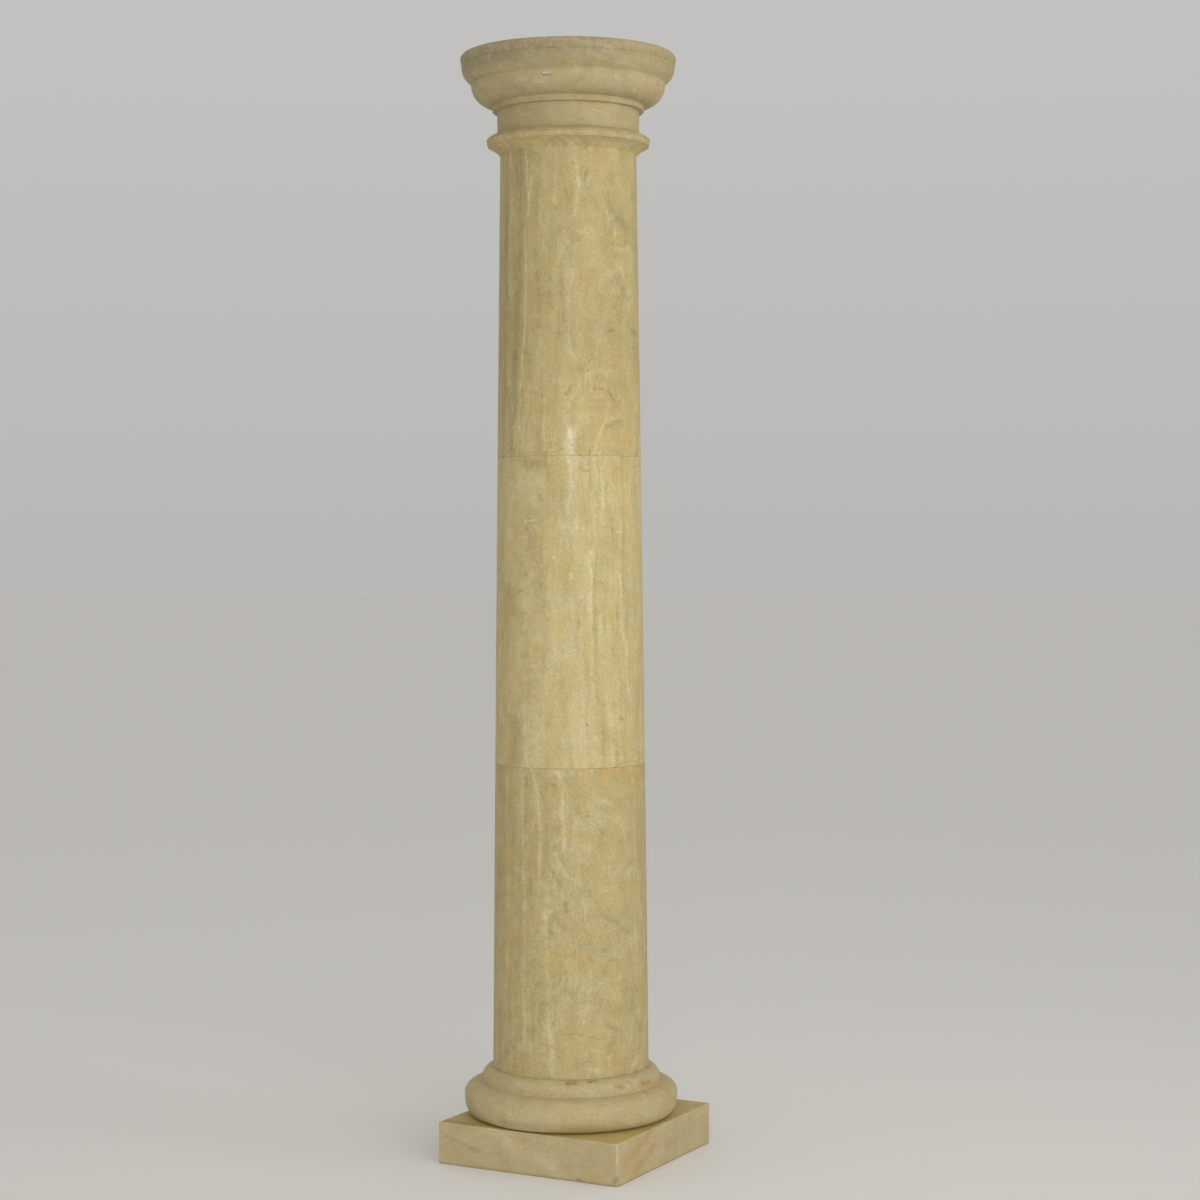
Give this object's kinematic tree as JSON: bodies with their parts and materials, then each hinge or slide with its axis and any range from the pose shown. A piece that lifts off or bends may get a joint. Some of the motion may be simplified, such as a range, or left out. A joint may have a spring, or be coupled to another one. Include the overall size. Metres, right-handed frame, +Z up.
{
  "type": "tuscan column",
  "caption": "Tuscan column in honed stone: square plinth, torus base, smooth tapering drum shaft and a capital with a round abacus.",
  "frame": {"origin": "where the shaft's axis meets the ground, at the underside of the plinth", "axes": "+Z up along the shaft's axis; +X and -Y are square to two faces of the plinth, and the plinth's middle lies 15 mm towards +X"},
  "size_m": [0.55, 0.55, 2.811],
  "materials": {
    "plinth_stone": "honed",
    "base_stone": "honed",
    "drum_stone": "honed",
    "capital_stone": "honed"
  },
  "bodies": {
    "root": {"plinth": "plinth_stone", "base": "base_stone", "lower_drum": "drum_stone", "middle_drum": "drum_stone", "upper_drum": "drum_stone", "capital": "capital_stone"}
  },
  "joints": []
}
